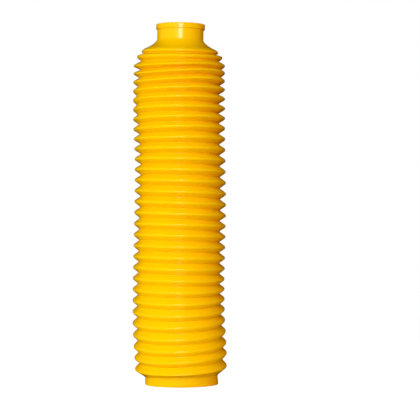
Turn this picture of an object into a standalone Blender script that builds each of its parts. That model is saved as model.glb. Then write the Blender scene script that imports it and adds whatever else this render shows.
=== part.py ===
"""Fork gaiter: a moulded rubber bellows that covers one leg of a telescopic fork.

The gaiter is one turned piece. From its foot up it has a plain collar that
grips the lower leg, a long run of folds that close up towards the top, a
stepped shoulder that flares in, and a short neck with a square rim.

Metres, +Z up. The origin is the centre of the collar's lower face, and +Z
runs along the fork leg.
"""

import math

import bpy

# Moulding: the sides of every ring, and the wall of the folds, shoulder and neck
SIDES = 32
WALL = 0.0015

# Collar on the lower leg, with a slight bead round its foot
COLLAR_BORE_RADIUS = 0.0308
COLLAR_WALL = 0.0020
COLLAR_HEIGHT = 0.0077
COLLAR_BEAD = 0.0004
COLLAR_BEAD_HEIGHT = 0.0042
COLLAR_EDGE_BREAK = 0.0006

# Full folds, counted by their crests: the pitch is even below and closes up at the top,
# and the roots open out towards the foot
RUN_IN_HEIGHT = 0.0077
FULL_FOLDS = 30
FOLD_RADIUS = 0.0418
ROOT_RADIUS = 0.0360
FOOT_ROOT_RADIUS = 0.0375
NOSE = 0.0016
PITCH = 0.01005
TOP_PITCH = 0.0070
PITCH_SETTLE = 5.25

# Two smaller crests that step up to the shoulder
STEP_RADIUS = 0.0389
STEP_PITCH = 0.0083
EDGE_RADIUS = 0.0347
EDGE_PITCH = 0.0048
EDGE_ROOT_RADIUS = 0.0338
EDGE_NOSE = 0.0014

# Shoulder: a sloping edge, then a hollow flare that bends up into the neck
EDGE_SLOPE_REACH = 0.0025
EDGE_SLOPE_HEIGHT = 0.0014
FLARE_HEIGHT = 0.0088
FLARE_BEND_REACH = 0.0019
FLARE_BEND_HEIGHT = 0.0040
FLARE_STEPS = 6

# Neck and its square rim
NECK_BORE_RADIUS = 0.0195
NECK_LENGTH = 0.0092
RIM_PROUD = 0.0012
RIM_HEIGHT = 0.0046
RIM_EDGE_BREAK = 0.0005

# Semi-gloss yellow rubber
RUBBER_COLOUR = (0.96, 0.56, 0.008, 1.0)
RUBBER_ROUGHNESS = 0.38

# Round surfaces shade smooth, and the folds keep their creases
CREASE_ANGLE = math.radians(30)
MERGE_DISTANCE = 0.00001


def crest_stations():
    """Radius, height and nose length of every crest, from the lowest up."""
    height = COLLAR_HEIGHT + RUN_IN_HEIGHT
    crests = [(FOLD_RADIUS, height, NOSE)]
    for fold in range(FULL_FOLDS - 2, -1, -1):
        closing = math.exp(-fold / PITCH_SETTLE)
        height += PITCH - (PITCH - TOP_PITCH) * closing
        crests.append((FOLD_RADIUS, height, NOSE))
    height += STEP_PITCH
    crests.append((STEP_RADIUS, height, NOSE))
    height += EDGE_PITCH
    crests.append((EDGE_RADIUS, height, EDGE_NOSE))
    return crests


def root_radius(fold):
    """Radius of the root above a fold, counted from the lowest fold up."""
    share = 1 - (fold + 1) / FULL_FOLDS
    return ROOT_RADIUS + (FOOT_ROOT_RADIUS - ROOT_RADIUS) * share**2


def fold_faces(crests):
    """Sloping faces from the collar to the shoulder's edge, as pairs of points."""
    collar_top = (COLLAR_BORE_RADIUS + COLLAR_WALL, COLLAR_HEIGHT)
    faces = []
    start = collar_top
    for index, (radius, height, nose) in enumerate(crests):
        faces.append((start, (radius, height - nose / 2)))
        if index + 1 == len(crests):
            break
        next_height = crests[index + 1][1]
        root = (root_radius(index), (height + next_height) / 2)
        if index + 1 > FULL_FOLDS:
            root = (EDGE_ROOT_RADIUS, root[1])
        faces.append(((radius, height + nose / 2), root))
        start = root
    return faces


def flare_points(edge_height):
    """Outer points of the shoulder, from its edge up to the straight neck."""
    neck_radius = NECK_BORE_RADIUS + WALL
    slope_top = (EDGE_RADIUS - EDGE_SLOPE_REACH, edge_height + EDGE_SLOPE_HEIGHT)
    bend = (neck_radius + FLARE_BEND_REACH, slope_top[1] + FLARE_BEND_HEIGHT)
    neck_start = (neck_radius, slope_top[1] + FLARE_HEIGHT)
    points = [(EDGE_RADIUS, edge_height)]
    for step in range(FLARE_STEPS + 1):
        up = step / FLARE_STEPS
        points.append(curve_point(slope_top, bend, neck_start, up))
    return points


def curve_point(start, bend, end, share):
    """Point on the curve that leaves start towards bend and arrives at end from it."""
    weights = ((1 - share) ** 2, 2 * share * (1 - share), share**2)
    radius = sum(weight * point[0] for weight, point in zip(weights, (start, bend, end)))
    height = sum(weight * point[1] for weight, point in zip(weights, (start, bend, end)))
    return radius, height


def inset(face, wall):
    """The face's line moved inwards by the wall, as a point and a direction."""
    (start_radius, start_height), (end_radius, end_height) = face
    run, climb = end_radius - start_radius, end_height - start_height
    length = math.hypot(run, climb)
    point = (start_radius - wall * climb / length, start_height + wall * run / length)
    return point, (run / length, climb / length)


def meeting(line_a, line_b):
    """Point where two lines cross."""
    (radius_a, height_a), (run_a, climb_a) = line_a
    (radius_b, height_b), (run_b, climb_b) = line_b
    cross = run_a * climb_b - climb_a * run_b
    along = ((radius_b - radius_a) * climb_b - (height_b - height_a) * run_b) / cross
    return radius_a + along * run_a, height_a + along * climb_a


def gaiter_outline():
    """Closed outline of the wall: down the outside, then up the inside."""
    crests = crest_stations()
    folds = fold_faces(crests)
    edge_height = crests[-1][1] + EDGE_NOSE / 2
    flare = flare_points(edge_height)
    neck_radius, neck_start = flare[-1]
    rim_base = neck_start + NECK_LENGTH
    top = rim_base + RIM_HEIGHT
    rim_radius = neck_radius + RIM_PROUD
    collar_radius = COLLAR_BORE_RADIUS + COLLAR_WALL
    bead_radius = collar_radius + COLLAR_BEAD

    outside = [
        (rim_radius - RIM_EDGE_BREAK, top),
        (rim_radius, top - RIM_EDGE_BREAK),
        (rim_radius, rim_base + RIM_EDGE_BREAK),
        (neck_radius, rim_base),
    ]
    outside += reversed(flare)
    for face_start, face_end in reversed(folds):
        outside += [face_end, face_start]
    outside += [
        (collar_radius, COLLAR_BEAD_HEIGHT),
        (bead_radius, COLLAR_BEAD_HEIGHT - COLLAR_EDGE_BREAK),
        (bead_radius, COLLAR_EDGE_BREAK),
        (bead_radius - COLLAR_EDGE_BREAK, 0),
    ]

    collar_face = ((collar_radius, 0), (collar_radius, COLLAR_HEIGHT))
    neck_face = ((neck_radius, neck_start), (neck_radius, rim_base))
    lines = [inset(collar_face, COLLAR_WALL)]
    lines += [inset(face, WALL) for face in folds]
    lines += [inset(face, WALL) for face in zip(flare, flare[1:])]
    lines += [inset(neck_face, WALL)]
    inside = [(COLLAR_BORE_RADIUS, 0)]
    inside += [meeting(lower, upper) for lower, upper in zip(lines, lines[1:])]
    inside += [(NECK_BORE_RADIUS, top)]
    return drop_repeats(outside + inside)


def drop_repeats(points):
    """The same outline without points that fall on the one before."""
    kept = []
    for point in points:
        if not kept or math.dist(point, kept[-1]) > MERGE_DISTANCE:
            kept.append(point)
    return kept


def rubber():
    """Semi-gloss moulded rubber."""
    material = bpy.data.materials.new("yellow_rubber")
    material.use_nodes = True
    shader = material.node_tree.nodes["Principled BSDF"]
    shader.inputs["Base Color"].default_value = RUBBER_COLOUR
    shader.inputs["Roughness"].default_value = RUBBER_ROUGHNESS
    shader.inputs["Metallic"].default_value = 0.0
    return material


def build_gaiter(collection):
    """The whole gaiter: its outline turned once about the fork leg's axis."""
    outline = gaiter_outline()
    count = len(outline)
    mesh = bpy.data.meshes.new("gaiter")
    mesh.from_pydata(
        [(radius, 0, height) for radius, height in outline],
        [(index, (index + 1) % count) for index in range(count)],
        [],
    )
    mesh.materials.append(rubber())
    gaiter = bpy.data.objects.new("gaiter", mesh)
    collection.objects.link(gaiter)

    turn = gaiter.modifiers.new("turn", "SCREW")
    turn.axis = "Z"
    turn.angle = math.tau
    turn.steps = SIDES
    turn.render_steps = SIDES
    turn.use_merge_vertices = True
    turn.merge_threshold = MERGE_DISTANCE

    turned = gaiter.evaluated_get(bpy.context.evaluated_depsgraph_get())
    gaiter_mesh = bpy.data.meshes.new_from_object(turned)
    gaiter_mesh.shade_smooth()
    gaiter_mesh.set_sharp_from_angle(angle=CREASE_ANGLE)
    gaiter.modifiers.clear()
    gaiter.data = gaiter_mesh
    return gaiter


def clear_scene():
    """Empty the scene that Blender starts with."""
    for item in list(bpy.data.objects):
        bpy.data.objects.remove(item, do_unlink=True)


def main():
    clear_scene()
    collection = bpy.data.collections.new("fork_gaiter")
    bpy.context.scene.collection.children.link(collection)
    build_gaiter(collection)


main()
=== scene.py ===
"""Fork gaiter: the finished rubber bellows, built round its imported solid.

Metres, +Z up. The gaiter stands on its collar at the origin.
"""

import logging
import math
from dataclasses import dataclass, field
from enum import Enum
from typing import Iterable

import bmesh
import bpy
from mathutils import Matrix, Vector


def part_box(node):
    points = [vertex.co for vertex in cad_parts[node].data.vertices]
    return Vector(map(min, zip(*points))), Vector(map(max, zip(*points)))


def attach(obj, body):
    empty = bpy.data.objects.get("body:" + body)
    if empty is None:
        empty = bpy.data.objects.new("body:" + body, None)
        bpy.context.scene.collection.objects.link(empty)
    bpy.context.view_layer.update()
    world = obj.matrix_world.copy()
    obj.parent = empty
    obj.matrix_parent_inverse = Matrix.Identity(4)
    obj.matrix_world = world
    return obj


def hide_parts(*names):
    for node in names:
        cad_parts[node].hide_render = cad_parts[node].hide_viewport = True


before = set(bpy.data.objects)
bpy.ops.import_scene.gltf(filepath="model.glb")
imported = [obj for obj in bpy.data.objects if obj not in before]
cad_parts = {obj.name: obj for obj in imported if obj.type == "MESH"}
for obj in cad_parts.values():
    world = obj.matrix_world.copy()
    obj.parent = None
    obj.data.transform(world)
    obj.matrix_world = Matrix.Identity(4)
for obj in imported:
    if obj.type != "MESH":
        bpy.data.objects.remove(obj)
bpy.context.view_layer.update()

LOG = logging.getLogger("fork_gaiter")
MM = 0.001
CLOSE = 1e-9


class Corner(Enum):
    """How a corner of the moulded wall's outline is rounded."""

    PLAIN = "plain"
    NOSE = "nose"
    CREASE = "crease"
    EDGE = "edge"
    BORE = "bore"


@dataclass(frozen=True)
class Point:
    """A corner of the wall's outline.

    Args:
        radius: distance from the gaiter's axis.
        height: height above the collar's foot.
        corner: how the corner is rounded.
        rounding: how far the round reaches along each side of the corner.
    """

    radius: float
    height: float
    corner: Corner = Corner.PLAIN
    rounding: float = 0.0


@dataclass(frozen=True)
class Station:
    """How the soft moulding sits at one height, away from dead straight.

    Args:
        height: height above the collar's foot.
        sway: shift of the axis to the right.
        roll: slope of the fold to the right, positive where the right side is lower.
        nod: slope of the fold to the front, positive where the front is lower.
        creep: shift of the fold along the axis.
        swell: how far the fold stands out past its moulded radius.
        warp: slope of the fold where it dips at the front left and the back right.
    """

    height: float
    sway: float
    roll: float
    nod: float
    creep: float
    swell: float
    warp: float


@dataclass(frozen=True)
class Pinch:
    """A place at one side where the folds' roots stand out, or lie deeper.

    Args:
        height: height of its middle above the collar's foot.
        reach: how far it fades out along the axis.
        azimuth: direction of its middle, in degrees from the right towards the back.
        spread: how far it fades out round the axis, in degrees.
        lift: how far it brings a root outwards, negative where it lies deeper.
    """

    height: float
    reach: float
    azimuth: float
    spread: float
    lift: float

    def at(self, spot: Vector) -> float:
        """Work out how far a root at this spot stands out.

        Args:
            spot: a point of the straight gaiter.

        Returns:
            The shift outwards.
        """
        turn = math.degrees(math.atan2(spot.y, spot.x)) - self.azimuth
        turn = (turn + 180) % 360 - 180
        along = (spot.z - self.height) / self.reach
        return self.lift * math.exp(-(along**2 + (turn / self.spread) ** 2) / 2)


@dataclass
class Slump:
    """The slight lean and sag of a soft bellows that stands on its collar.

    Args:
        stations: how the moulding sits at chosen heights, from the foot up.
        pinches: the places where the folds aren't the same all round.
    """

    stations: tuple[Station, ...] = (
        Station(0 * MM, 1.3 * MM, -0.005, -0.010, 0.0 * MM, 0.0 * MM, 0.0),
        Station(4 * MM, 1.0 * MM, -0.015, -0.015, 0.0 * MM, 0.0 * MM, 0.0),
        Station(8 * MM, 0.8 * MM, -0.025, -0.070, -0.3 * MM, 0.1 * MM, 0.0),
        Station(15 * MM, 0.6 * MM, -0.035, 0.080, 0.2 * MM, 0.1 * MM, 0.0),
        Station(20 * MM, 0.5 * MM, -0.040, 0.080, 0.9 * MM, -0.2 * MM, 0.0),
        Station(26 * MM, 0.3 * MM, -0.055, 0.095, 1.0 * MM, 0.4 * MM, 0.0),
        Station(36 * MM, -0.3 * MM, -0.045, 0.100, 1.0 * MM, 0.5 * MM, -0.005),
        Station(57 * MM, -1.3 * MM, -0.035, 0.095, 1.8 * MM, 0.3 * MM, -0.010),
        Station(77 * MM, -1.5 * MM, -0.015, 0.075, 1.5 * MM, 0.1 * MM, -0.015),
        Station(96 * MM, -1.4 * MM, 0.010, 0.035, 0.6 * MM, 0.0 * MM, -0.010),
        Station(135 * MM, -0.6 * MM, 0.025, 0.0, -0.4 * MM, 0.0 * MM, 0.005),
        Station(165 * MM, 0.0 * MM, 0.040, 0.010, -0.5 * MM, -0.1 * MM, 0.010),
        Station(204 * MM, -0.2 * MM, 0.020, 0.005, 0.0 * MM, -0.4 * MM, 0.010),
        Station(233 * MM, -1.0 * MM, -0.010, 0.0, 0.1 * MM, 0.0 * MM, 0.015),
        Station(252 * MM, -1.1 * MM, -0.015, -0.005, 0.1 * MM, 0.1 * MM, -0.010),
        Station(265 * MM, -1.2 * MM, -0.020, 0.0, 0.1 * MM, 0.0 * MM, 0.005),
        Station(282 * MM, -1.0 * MM, -0.005, 0.020, 0.2 * MM, -0.3 * MM, 0.045),
        Station(297 * MM, -0.7 * MM, 0.010, 0.060, -0.5 * MM, -0.3 * MM, 0.005),
        Station(303 * MM, -0.4 * MM, 0.020, 0.045, -0.5 * MM, 0.0 * MM, 0.0),
        Station(328 * MM, 0.3 * MM, 0.010, 0.020, 0.0 * MM, 0.0 * MM, 0.0),
    )

    pinches: tuple[Pinch, ...] = (
        Pinch(height=283.5 * MM, reach=7.8 * MM, azimuth=0, spread=35, lift=3.1 * MM),
        Pinch(height=259 * MM, reach=15 * MM, azimuth=180, spread=35, lift=2.7 * MM),
        Pinch(height=142 * MM, reach=14 * MM, azimuth=180, spread=45, lift=0.4 * MM),
        Pinch(height=142 * MM, reach=14 * MM, azimuth=0, spread=45, lift=-0.4 * MM),
        Pinch(height=38 * MM, reach=20 * MM, azimuth=180, spread=45, lift=-0.45 * MM),
        Pinch(height=38 * MM, reach=20 * MM, azimuth=0, spread=45, lift=0.45 * MM),
    )

    def at(self, height: float) -> Station:
        """Work out how the moulding sits at a height.

        Args:
            height: height above the collar's foot.

        Returns:
            The station at that height, on a smooth curve through the given ones.
        """
        given = self.stations
        height = min(max(height, given[0].height), given[-1].height)
        index = 0
        while index < len(given) - 2 and height > given[index + 1].height:
            index += 1
        before, after = given[index], given[index + 1]
        span = after.height - before.height
        share = (height - before.height) / span

        def smooth(name: str) -> float:
            """Cubic through the two stations, with slopes taken from their neighbours."""
            start, end = getattr(before, name), getattr(after, name)
            slope_in = self.slope(index, name) * span
            slope_out = self.slope(index + 1, name) * span
            bend = (1 - share) * slope_in * share * (1 - share)
            bend -= share * slope_out * share * (1 - share)
            ease = share * share * (3 - 2 * share)
            return start + (end - start) * ease + bend

        names = ("sway", "roll", "nod", "creep", "swell", "warp")
        return Station(height, *(smooth(name) for name in names))

    def slope(self, index: int, name: str) -> float:
        """Slope of one value at a station, taken across its neighbours."""
        low = self.stations[max(index - 1, 0)]
        high = self.stations[min(index + 1, len(self.stations) - 1)]
        return (getattr(high, name) - getattr(low, name)) / (high.height - low.height)

    def settle(self, spot: Vector, depth: float) -> Vector:
        """Move a point of the straight gaiter to where it sits.

        Args:
            spot: a point of the straight gaiter.
            depth: how deep it lies in the folds, from 0 at a crest to 1 at a root.

        Returns:
            The same point on the settled gaiter.
        """
        sits = self.at(spot.z)
        pinched = sum(pinch.at(spot) for pinch in self.pinches)
        radius = math.hypot(spot.x, spot.y)
        grown = 1 + (sits.swell + depth * pinched) / radius
        drop = sits.roll * spot.x - sits.nod * spot.y + sits.warp * spot.x * spot.y / radius
        return Vector((spot.x * grown + sits.sway, spot.y * grown, spot.z + sits.creep - drop))


@dataclass(frozen=True)
class RubberFinish:
    """Semi-gloss moulded rubber, coloured through, with painted shade in creases and painted light on
    crests.

    Args:
        colour: the rubber's colour on the neck and collar, also kept in the folds' creases as painted
            shade.
        crest_painted_light_colour: the paler colour on the folds' crests, painted light.
        root_radius: radius at which the painted paler colour of the crests starts.
        crest_radius: radius at which the painted paler colour of the crests is full.
        roughness: mean roughness of the moulded skin.
        roughness_spread: how far the roughness wanders either way.
        gloss_index: refractive index of the skin.
        mottle_scale: patches of gloss to the metre.
        mottle_detail: how broken up those patches are.
        grain_scale: grains of the moulded skin to the metre.
        grain_detail: how broken up the grain is.
        grain_strength: how much of the grain's height shows.
        grain_height: height of the grain.
    """

    colour: tuple[float, float, float, float] = (0.93, 0.53, 0.0, 1.0)
    crest_painted_light_colour: tuple[float, float, float, float] = (0.95, 0.56, 0.0, 1.0)
    root_radius: float = 37 * MM
    crest_radius: float = 41 * MM
    roughness: float = 0.14
    roughness_spread: float = 0.03
    gloss_index: float = 1.5
    mottle_scale: float = 60.0
    mottle_detail: float = 4.0
    grain_scale: float = 1400.0
    grain_detail: float = 2.0
    grain_strength: float = 0.03
    grain_height: float = 0.1 * MM

    def material(self) -> bpy.types.Material:
        """Build the finish as shader nodes.

        Returns:
            The material.
        """
        made = bpy.data.materials.new("yellow_rubber")
        made.use_nodes = True
        nodes, links = made.node_tree.nodes, made.node_tree.links
        shader = nodes["Principled BSDF"]
        shader.inputs["Metallic"].default_value = 0.0
        shader.inputs["IOR"].default_value = self.gloss_index

        place = nodes.new("ShaderNodeTexCoord")
        mottle = nodes.new("ShaderNodeTexNoise")
        mottle.inputs["Scale"].default_value = self.mottle_scale
        mottle.inputs["Detail"].default_value = self.mottle_detail
        links.new(place.outputs["Object"], mottle.inputs["Vector"])

        grain = nodes.new("ShaderNodeTexNoise")
        grain.inputs["Scale"].default_value = self.grain_scale
        grain.inputs["Detail"].default_value = self.grain_detail
        links.new(place.outputs["Object"], grain.inputs["Vector"])

        flat = nodes.new("ShaderNodeVectorMath")
        flat.operation = "MULTIPLY"
        flat.inputs[1].default_value = (1.0, 1.0, 0.0)
        links.new(place.outputs["Object"], flat.inputs[0])
        radius = nodes.new("ShaderNodeVectorMath")
        radius.operation = "LENGTH"
        links.new(flat.outputs["Vector"], radius.inputs[0])
        rise = nodes.new("ShaderNodeMapRange")
        rise.inputs["From Min"].default_value = self.root_radius
        rise.inputs["From Max"].default_value = self.crest_radius
        links.new(radius.outputs["Value"], rise.inputs["Value"])

        # Painted shade and light: the colour is darker in the folds' creases and paler on their crests, by
        # radius.
        crease_shade_tint = nodes.new("ShaderNodeMix")
        crease_shade_tint.data_type = "RGBA"
        crease_shade_tint.inputs["A"].default_value = self.colour
        crease_shade_tint.inputs["B"].default_value = self.crest_painted_light_colour
        links.new(rise.outputs["Result"], crease_shade_tint.inputs["Factor"])
        links.new(crease_shade_tint.outputs["Result"], shader.inputs["Base Color"])

        gloss = nodes.new("ShaderNodeMapRange")
        gloss.inputs["To Min"].default_value = self.roughness - self.roughness_spread
        gloss.inputs["To Max"].default_value = self.roughness + self.roughness_spread
        links.new(mottle.outputs["Fac"], gloss.inputs["Value"])
        links.new(gloss.outputs["Result"], shader.inputs["Roughness"])

        bump = nodes.new("ShaderNodeBump")
        bump.inputs["Strength"].default_value = self.grain_strength
        bump.inputs["Distance"].default_value = self.grain_height
        links.new(grain.outputs["Fac"], bump.inputs["Height"])
        links.new(bump.outputs["Normal"], shader.inputs["Normal"])
        return made


@dataclass
class Gaiter:
    """The bellows: collar, folds, stepped shoulder, flare, neck and rim in one moulding.

    The sizes that their names don't explain are these.

    Args:
        total_height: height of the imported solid, whose middle the lamps aim at.
        sides: steps of the spin round the axis.
        run_in_height: height from the collar's top to the lowest crest.
        top_root_extra: how much deeper the roots lie at the very top of the folds.
        pitch_settle: number of folds over which the close pitch and the extra depth at the top fade.
        foot_nose: rounding of a fold's crest at the foot.
        top_nose: rounding of a fold's crest at the top.
        crease: rounding of a fold's root.
        step_pitch: height from the last full fold to the middle of the smaller step.
        step_below: how far the step's upright face runs down from its middle.
        step_above: how far it runs up.
        edge_pitch: height from the step to the middle of the shoulder's edge.
        step_root_share: height of the root under the step, as a share of the step's pitch.
        edge_root_drop: how far the root under the edge lies below the edge's middle.
        edge_land: height of the edge's upright face.
        edge_slope_reach: how far the slope above the edge runs inwards.
        flare_bend_reach: how far the flare's bend stands out from the neck.
        rim_proud: how far the rim stands out from the neck.
        round_steps: segments in the rounding of a crest.
        corner_steps: segments in every other rounding.
    """

    total_height: float
    sides: int = 168
    wall: float = 1.5 * MM

    collar_bore: float = 30.8 * MM
    collar_wall: float = 2.0 * MM
    collar_height: float = 7.7 * MM
    collar_bead: float = 0.4 * MM
    collar_bead_height: float = 1.8 * MM
    collar_edge: float = 0.6 * MM

    run_in_height: float = 7.7 * MM
    full_folds: int = 30
    fold_radius: float = 41.8 * MM
    fold_depth: float = 5.8 * MM
    root_radius: float = 35.8 * MM
    top_root_extra: float = 0.8 * MM
    foot_root_radius: float = 37.5 * MM
    pitch: float = 10.05 * MM
    top_pitch: float = 7.0 * MM
    pitch_settle: float = 5.25
    foot_nose: float = 2.5 * MM
    top_nose: float = 3.0 * MM
    crease: float = 0.7 * MM

    step_radius: float = 38.9 * MM
    step_pitch: float = 8.3 * MM
    step_below: float = 0.9 * MM
    step_above: float = 1.3 * MM
    step_round: float = 1.1 * MM
    edge_radius: float = 34.7 * MM
    edge_pitch: float = 4.8 * MM
    step_root_radius: float = 34.9 * MM
    step_root_share: float = 0.57
    edge_root_radius: float = 32.7 * MM
    edge_root_drop: float = 1.9 * MM
    edge_land: float = 1.5 * MM
    edge_round: float = 0.6 * MM
    edge_slope_reach: float = 2.5 * MM
    edge_slope_height: float = 1.8 * MM

    flare_height: float = 8.4 * MM
    flare_bend_reach: float = 1.9 * MM
    flare_bend_height: float = 4.0 * MM
    flare_steps: int = 12

    neck_bore: float = 19.5 * MM
    neck_length: float = 9.2 * MM
    rim_proud: float = 1.2 * MM
    rim_height: float = 4.6 * MM
    rim_round: float = 0.45 * MM
    bore_round: float = 0.5 * MM

    round_steps: int = 4
    corner_steps: int = 2
    slump: Slump = field(default_factory=Slump)
    finish: RubberFinish = field(default_factory=RubberFinish)

    def crests(self) -> list[Point]:
        """Lay out the crests of the folds.

        Returns:
            Every crest from the lowest up, at the radius that its round nose reaches.
        """
        height = self.collar_height + self.run_in_height
        found = [Point(self.fold_radius, height, Corner.NOSE, self.foot_nose)]
        for fold in range(self.full_folds - 2, -1, -1):
            closing = math.exp(-fold / self.pitch_settle)
            height += self.pitch - (self.pitch - self.top_pitch) * closing
            share = fold / (self.full_folds - 1)
            nose = self.top_nose + (self.foot_nose - self.top_nose) * share
            found.append(Point(self.fold_radius, height, Corner.NOSE, nose))
        height += self.step_pitch
        found.append(Point(self.step_radius, height, Corner.NOSE, self.top_nose))
        return found

    def root(self, fold: int) -> float:
        """Radius of the root above a fold: open towards the foot, deeper at the very top."""
        share = max(1 - (fold + 1) / self.full_folds, 0.0)
        opening = (self.foot_root_radius - self.root_radius) * share**2
        deeper = self.top_root_extra * math.exp(-share * self.full_folds / self.pitch_settle)
        return self.root_radius + opening - deeper

    def sharp_crest(self, crest: Point, root: float, half_pitch: float) -> Point:
        """Set a crest out to the sharp corner whose rounding ends at the crest's radius.

        Args:
            crest: the crest at its finished radius.
            root: radius of the root beside it.
            half_pitch: height from the crest to that root.

        Returns:
            The sharp corner.
        """
        depth = crest.radius - root
        half_angle = math.atan2(half_pitch, depth)
        proud = crest.rounding * (1 - math.sin(half_angle)) / math.cos(half_angle)
        return Point(crest.radius + proud, crest.height, crest.corner, crest.rounding)

    def fold_line(self) -> list[Point]:
        """Draw the folds as a zigzag.

        Returns:
            Sharp corners from the top of the collar to the shoulder's edge.
        """
        crests = self.crests()
        line = [Point(self.collar_bore + self.collar_wall, self.collar_height, Corner.CREASE, self.crease)]
        for index, crest in enumerate(crests[:-1]):
            above = crests[index + 1]
            half_pitch = (above.height - crest.height) / 2
            root, rise = self.root(index), half_pitch
            if above is crests[-1]:
                root, rise = self.step_root_radius, 2 * half_pitch * self.step_root_share
            line.append(self.sharp_crest(crest, root, half_pitch))
            line.append(Point(root, crest.height + rise, Corner.CREASE, self.crease))
        step = crests[-1]
        for height in (step.height - self.step_below, step.height + self.step_above):
            line.append(Point(step.radius, height, Corner.NOSE, self.step_round))
        edge = step.height + self.edge_pitch
        line.append(
            Point(self.edge_root_radius, edge - self.edge_root_drop, Corner.CREASE, self.crease / 2)
        )
        line.append(Point(self.edge_radius, edge - self.edge_land / 2, Corner.NOSE, self.edge_round))
        line.append(Point(self.edge_radius, edge + self.edge_land / 2, Corner.NOSE, self.edge_round))
        return line

    def flare_line(self, edge_top: float) -> list[Point]:
        """Draw the shoulder's slope and its hollow flare.

        Args:
            edge_top: height at which the shoulder's edge ends.

        Returns:
            Points from the top of the slope to the start of the neck.
        """
        neck = self.neck_bore + self.wall
        slope_height = edge_top + self.edge_slope_height
        start = Vector((self.edge_radius - self.edge_slope_reach, slope_height))
        bend = Vector((neck + self.flare_bend_reach, slope_height + self.flare_bend_height))
        end = Vector((neck, slope_height + self.flare_height))
        line = []
        for step in range(self.flare_steps + 1):
            up = step / self.flare_steps
            spot = start.lerp(bend, up).lerp(bend.lerp(end, up), up)
            line.append(Point(spot.x, spot.y))
        return line

    def outer_line(self) -> list[Point]:
        """Draw the whole outside, from the collar's foot to the rim's top."""
        collar = self.collar_bore + self.collar_wall
        line = [
            Point(collar + self.collar_bead, 0.0, Corner.EDGE, self.collar_edge),
            Point(collar + self.collar_bead, self.collar_bead_height),
        ]
        line += self.fold_line()
        line += self.flare_line(line[-1].height)
        neck = line[-1]
        rim_base = neck.height + self.neck_length
        top = rim_base + self.rim_height
        rim = neck.radius + self.rim_proud
        line += [
            Point(neck.radius, rim_base, Corner.CREASE, self.rim_round / 2),
            Point(rim, rim_base, Corner.EDGE, self.rim_round),
            Point(rim, top, Corner.EDGE, self.rim_round),
        ]
        return line

    def inner_line(self, outer: list[Point]) -> list[Point]:
        """Draw the inside by moving the outside's faces in by the wall.

        Args:
            outer: the outside from the collar's foot up.

        Returns:
            Points from the collar's foot to the rim's top.
        """
        collar = self.collar_bore + self.collar_wall
        neck = self.neck_bore + self.wall
        start = next(i for i, p in enumerate(outer) if p.height >= self.collar_height)
        end = max(i for i, p in enumerate(outer) if abs(p.radius - neck) < CLOSE)
        chain = outer[start : end + 1]
        lines = [self.inset(Point(collar, 0.0), chain[0], self.collar_wall)]
        lines += [self.inset(low, high, self.wall) for low, high in zip(chain, chain[1:])]
        found = [Point(self.collar_bore, 0.0, Corner.BORE, self.bore_round)]
        for low, high, source in zip(lines, lines[1:], chain):
            spot = self.crossing(low, high)
            bends = source.corner in (Corner.NOSE, Corner.CREASE, Corner.EDGE)
            corner = Corner.BORE if bends else Corner.PLAIN
            found.append(Point(spot[0], spot[1], corner, self.bore_round))
        found.append(Point(self.neck_bore, outer[-1].height, Corner.BORE, self.bore_round))
        return found

    @staticmethod
    def inset(low: Point, high: Point, wall: float) -> tuple[float, float, float, float]:
        """Move the face between two corners in by the wall.

        Args:
            low: the face's lower corner.
            high: the face's upper corner.
            wall: how far to move it.

        Returns:
            A point on the moved face and the face's direction.
        """
        run, climb = high.radius - low.radius, high.height - low.height
        length = math.hypot(run, climb)
        run, climb = run / length, climb / length
        return low.radius - wall * climb, low.height + wall * run, run, climb

    @staticmethod
    def crossing(
        low: tuple[float, float, float, float], high: tuple[float, float, float, float]
    ) -> tuple[float, float]:
        """Find where two moved faces meet, as a radius and a height."""
        cross = low[2] * high[3] - low[3] * high[2]
        along = ((high[0] - low[0]) * high[3] - (high[1] - low[1]) * high[2]) / cross
        return low[0] + along * low[2], low[1] + along * low[3]

    def turned(self) -> bmesh.types.BMesh:
        """Round the outline's corners and spin it into the closed wall.

        Returns:
            The straight gaiter.
        """
        outer = self.outer_line()
        outline = outer + self.inner_line(outer)[::-1]
        shape = bmesh.new()
        corners = [shape.verts.new((p.radius, 0.0, p.height)) for p in outline]
        for index, corner in enumerate(corners):
            shape.edges.new((corner, corners[(index + 1) % len(corners)]))
        for corner, point in zip(corners, outline):
            if point.corner is Corner.PLAIN or point.rounding <= 0.0:
                continue
            bmesh.ops.bevel(
                shape,
                geom=[corner],
                offset=point.rounding,
                offset_type="OFFSET",
                segments=self.round_steps if point.corner is Corner.NOSE else self.corner_steps,
                profile=0.5,
                affect="VERTICES",
                material=-1,
                clamp_overlap=True,
            )
        bmesh.ops.spin(
            shape,
            geom=shape.verts[:] + shape.edges[:],
            cent=(0.0, 0.0, 0.0),
            axis=(0.0, 0.0, 1.0),
            angle=math.tau,
            steps=self.sides,
            use_merge=True,
            use_duplicate=False,
        )
        bmesh.ops.recalc_face_normals(shape, faces=shape.faces[:])
        return shape

    @staticmethod
    def shade(mesh: bpy.types.Mesh) -> None:
        """Shade smooth with normals that keep the broad faces flat and turn in the rounds.

        Args:
            mesh: the finished wall.
        """
        mesh.shade_smooth()
        totals = [Vector() for _ in mesh.vertices]
        for face in mesh.polygons:
            for index in face.vertices:
                totals[index] += face.normal * face.area
        mesh.normals_split_custom_set_from_vertices([total.normalized() for total in totals])

    def build(self) -> bpy.types.Object:
        """Make the finished gaiter and set it in the frame.

        Returns:
            The gaiter's object.
        """
        shape = self.turned()
        for vert in shape.verts:
            depth = (self.fold_radius - math.hypot(vert.co.x, vert.co.y)) / self.fold_depth
            vert.co = self.slump.settle(vert.co, min(max(depth, 0.0), 1.0))
        mesh = bpy.data.meshes.new("moulded_gaiter")
        shape.to_mesh(mesh)
        shape.free()
        self.shade(mesh)
        mesh.materials.append(self.finish.material())
        gaiter = bpy.data.objects.new("moulded_gaiter", mesh)
        bpy.context.scene.collection.objects.link(gaiter)
        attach(gaiter, "root")
        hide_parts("gaiter")
        return gaiter


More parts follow.
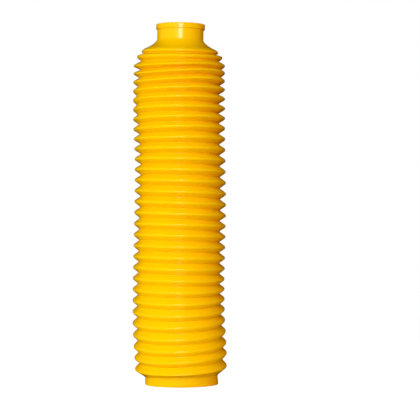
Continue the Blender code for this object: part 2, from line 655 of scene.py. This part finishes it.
@dataclass
class PhotoCamera:
    """The camera at the photograph's viewing angle.

    Args:
        axis_px: where the gaiter's axis stands in the frame, from the left.
        foot_px: where the centre of the collar's foot lies, from the top.
        eye_px: the camera's own level in the frame, from the top.
        distance_px: the camera's distance from the gaiter's axis, at the picture's scale.
        px_size: what one pixel spans at the gaiter's axis.
        near: the nearest distance that the camera sees.
        far: the farthest distance that the camera sees.
    """

    frame_px: float = 420.0
    axis_px: float = 180.3
    foot_px: float = 384.0
    eye_px: float = 228.0
    distance_px: float = 1500.0
    px_size: float = 0.91 * MM
    sensor: float = 36.0
    near: float = 0.05
    far: float = 50.0

    def build(self) -> bpy.types.Object:
        """Make the camera, aimed at the middle of the frame.

        Returns:
            The scene's camera.
        """
        middle = self.frame_px / 2
        data = bpy.data.cameras.new("photo_camera")
        data.sensor_width = self.sensor
        data.lens = self.sensor * self.distance_px / self.frame_px
        data.clip_start, data.clip_end = self.near, self.far
        camera = bpy.data.objects.new("photo_camera", data)
        bpy.context.scene.collection.objects.link(camera)
        eye = Vector((0.0, -self.distance_px * self.px_size, (self.foot_px - self.eye_px) * self.px_size))
        aim = Vector(((middle - self.axis_px) * self.px_size, 0.0, (self.foot_px - middle) * self.px_size))
        camera.location = eye
        camera.rotation_mode = "QUATERNION"
        camera.rotation_quaternion = (aim - eye).to_track_quat("-Z", "Y")
        bpy.context.scene.camera = camera
        return camera


@dataclass
class Softbox:
    """A studio lamp with a diffusing front.

    Args:
        name: the lamp's name.
        azimuth: degrees round from straight in front, positive to the right.
        distance: how far it stands from the gaiter's axis.
        lift: height of its middle above the floor.
        width: width of its front.
        height: height of its front.
        level: brightness that it alone gives a white face turned to it.
        mirrored: whether its front shows in the gloss, or a grid hides it.
        colour: the colour of its light.
    """

    name: str
    azimuth: float
    distance: float
    lift: float
    width: float
    height: float
    level: float
    mirrored: bool = True
    colour: tuple[float, float, float] = (1.0, 1.0, 1.0)

    def build(self, aim: Vector) -> bpy.types.Object:
        """Hang the lamp and turn it to the gaiter.

        Args:
            aim: the point it faces.

        Returns:
            The lamp's object.
        """
        data = bpy.data.lights.new(self.name, "AREA")
        data.shape = "RECTANGLE"
        data.size, data.size_y = self.width, self.height
        turn = math.radians(self.azimuth)
        place = Vector((math.sin(turn), -math.cos(turn), 0.0)) * self.distance
        place.z = self.lift
        away = place - aim
        data.energy = self.level * (math.pi * away.length) ** 2
        data.color = self.colour
        lamp = bpy.data.objects.new(self.name, data)
        bpy.context.scene.collection.objects.link(lamp)
        lamp.location = place
        lamp.rotation_mode = "QUATERNION"
        lamp.rotation_quaternion = (-away).to_track_quat("-Z", "Y")
        lamp.visible_glossy = self.mirrored
        return lamp


@dataclass
class Studio:
    """The plain pale floor, the white surround and the lamps.

    Args:
        aim: the point that every lamp faces.
        floor_size: width and depth of the floor.
        floor_colour: the floor's own colour.
        floor_glow: what the camera alone sees added to the floor, so that it reads as white.
        ambient_left: brightness of the surround straight to the left.
        ambient_right: brightness of the surround on the right.
        right_edge: how far right the surround reaches that brightness, as the X of its direction.
        ambient_rest: brightness of the surround above and below its bright band.
        band_top: height at which the bright band ends, as the Z of its direction.
        band_blend: how softly the band ends, either way.
        lamps: the lamps.
    """

    aim: Vector
    floor_size: float = 1.0
    floor_colour: tuple[float, float, float, float] = (0.8, 0.8, 0.8, 1.0)
    floor_glow: float = 0.8
    ambient_left: float = 1.2
    ambient_right: float = 0.36
    right_edge: float = 0.5
    ambient_rest: float = 0.03
    band_top: float = 0.5
    band_blend: float = 0.06
    lamps: tuple[Softbox, ...] = (
        Softbox(
            name="key",
            azimuth=-20.0,
            distance=1.1,
            lift=0.34,
            width=0.5,
            height=0.75,
            level=0.59,
            mirrored=False,
        ),
        Softbox(
            name="front_box",
            azimuth=1.0,
            distance=1.5,
            lift=0.51,
            width=0.52,
            height=0.44,
            level=0.215,
        ),
        Softbox(
            name="left_fill",
            azimuth=-75.0,
            distance=1.1,
            lift=0.30,
            width=0.5,
            height=0.5,
            level=0.12,
            mirrored=False,
        ),
        Softbox(
            name="top_box",
            azimuth=18.0,
            distance=0.45,
            lift=0.72,
            width=0.25,
            height=0.25,
            level=0.13,
            mirrored=False,
        ),
        Softbox(
            name="back_fill",
            azimuth=172.0,
            distance=1.3,
            lift=0.45,
            width=0.6,
            height=0.6,
            level=0.40,
            mirrored=False,
        ),
        Softbox(
            name="warm_right",
            azimuth=85.0,
            distance=1.1,
            lift=0.30,
            width=0.5,
            height=0.5,
            level=0.17,
            mirrored=False,
            colour=(1.0, 0.13, 0.0),
        ),
    )

    def surround(self) -> None:
        """Make the surround white to the camera, and for light a band that is brighter on the left.

        The gloss doesn't show it.
        """
        world = bpy.data.worlds.new("surround")
        world.use_nodes = True
        bpy.context.scene.world = world
        nodes, links = world.node_tree.nodes, world.node_tree.links
        back = nodes["Background"]
        back.inputs["Color"].default_value = (1.0, 1.0, 1.0, 1.0)
        place = nodes.new("ShaderNodeTexCoord")
        parts = nodes.new("ShaderNodeSeparateXYZ")
        links.new(place.outputs["Generated"], parts.inputs["Vector"])
        rise = nodes.new("ShaderNodeMapRange")
        rise.inputs["From Min"].default_value = -self.band_blend
        rise.inputs["From Max"].default_value = self.band_blend
        links.new(parts.outputs["Z"], rise.inputs["Value"])
        fade = nodes.new("ShaderNodeMapRange")
        fade.inputs["From Min"].default_value = self.band_top + self.band_blend
        fade.inputs["From Max"].default_value = self.band_top - self.band_blend
        links.new(parts.outputs["Z"], fade.inputs["Value"])
        band = nodes.new("ShaderNodeMath")
        band.operation = "MULTIPLY"
        links.new(rise.outputs["Result"], band.inputs[0])
        links.new(fade.outputs["Result"], band.inputs[1])
        lean = nodes.new("ShaderNodeMapRange")
        lean.inputs["From Min"].default_value = -1.0
        lean.inputs["From Max"].default_value = self.right_edge
        lean.inputs["To Min"].default_value = self.ambient_left
        lean.inputs["To Max"].default_value = self.ambient_right
        links.new(parts.outputs["X"], lean.inputs["Value"])
        level = nodes.new("ShaderNodeMapRange")
        level.inputs["To Min"].default_value = self.ambient_rest
        links.new(lean.outputs["Result"], level.inputs["To Max"])
        links.new(band.outputs["Value"], level.inputs["Value"])
        path = nodes.new("ShaderNodeLightPath")
        seen = nodes.new("ShaderNodeMix")
        seen.inputs["B"].default_value = 1.0
        links.new(path.outputs["Is Camera Ray"], seen.inputs["Factor"])
        links.new(level.outputs["Result"], seen.inputs["A"])
        links.new(seen.outputs["Result"], back.inputs["Strength"])
        world.cycles_visibility.glossy = False

    def floor(self) -> bpy.types.Object:
        """Lay the floor, whose glow keeps it plain white to the camera and hides the gaiter's shadow.

        Returns:
            The floor's object.
        """
        shape = bmesh.new()
        bmesh.ops.create_grid(shape, x_segments=1, y_segments=1, size=self.floor_size / 2)
        mesh = bpy.data.meshes.new("floor")
        shape.to_mesh(mesh)
        shape.free()
        made = bpy.data.materials.new("pale_floor")
        made.use_nodes = True
        nodes, links = made.node_tree.nodes, made.node_tree.links
        nodes.remove(nodes["Principled BSDF"])
        matt = nodes.new("ShaderNodeBsdfDiffuse")
        matt.inputs["Color"].default_value = self.floor_colour
        path = nodes.new("ShaderNodeLightPath")
        glow = nodes.new("ShaderNodeEmission")
        lift = nodes.new("ShaderNodeMath")
        lift.operation = "MULTIPLY"
        lift.inputs[1].default_value = self.floor_glow
        both = nodes.new("ShaderNodeAddShader")
        links.new(path.outputs["Is Camera Ray"], lift.inputs[0])
        links.new(lift.outputs["Value"], glow.inputs["Strength"])
        links.new(matt.outputs["BSDF"], both.inputs[0])
        links.new(glow.outputs["Emission"], both.inputs[1])
        links.new(both.outputs["Shader"], nodes["Material Output"].inputs["Surface"])
        mesh.materials.append(made)
        floor = bpy.data.objects.new("floor", mesh)
        bpy.context.scene.collection.objects.link(floor)
        floor.visible_glossy = False
        return floor

    def build(self) -> None:
        """Set up the surround, the floor and every lamp."""
        self.surround()
        self.floor()
        for lamp in self.lamps:
            lamp.build(self.aim)
        bpy.context.scene.view_settings.view_transform = "Standard"


def report(pieces: Iterable[bpy.types.Object]) -> None:
    """Log each finished piece with its face count."""
    for piece in pieces:
        LOG.info("%s: %d faces", piece.name, len(piece.data.polygons))


def main() -> None:
    """Build the gaiter to the imported solid's height, then the studio and the camera."""
    logging.basicConfig(level=logging.INFO, format="%(message)s")
    low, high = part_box("gaiter")
    gaiter = Gaiter(total_height=high.z - low.z)
    piece = gaiter.build()
    report([piece])
    Studio(aim=Vector((0.0, 0.0, gaiter.total_height / 2))).build()
    PhotoCamera().build()


if __name__ == "__main__":
    main()
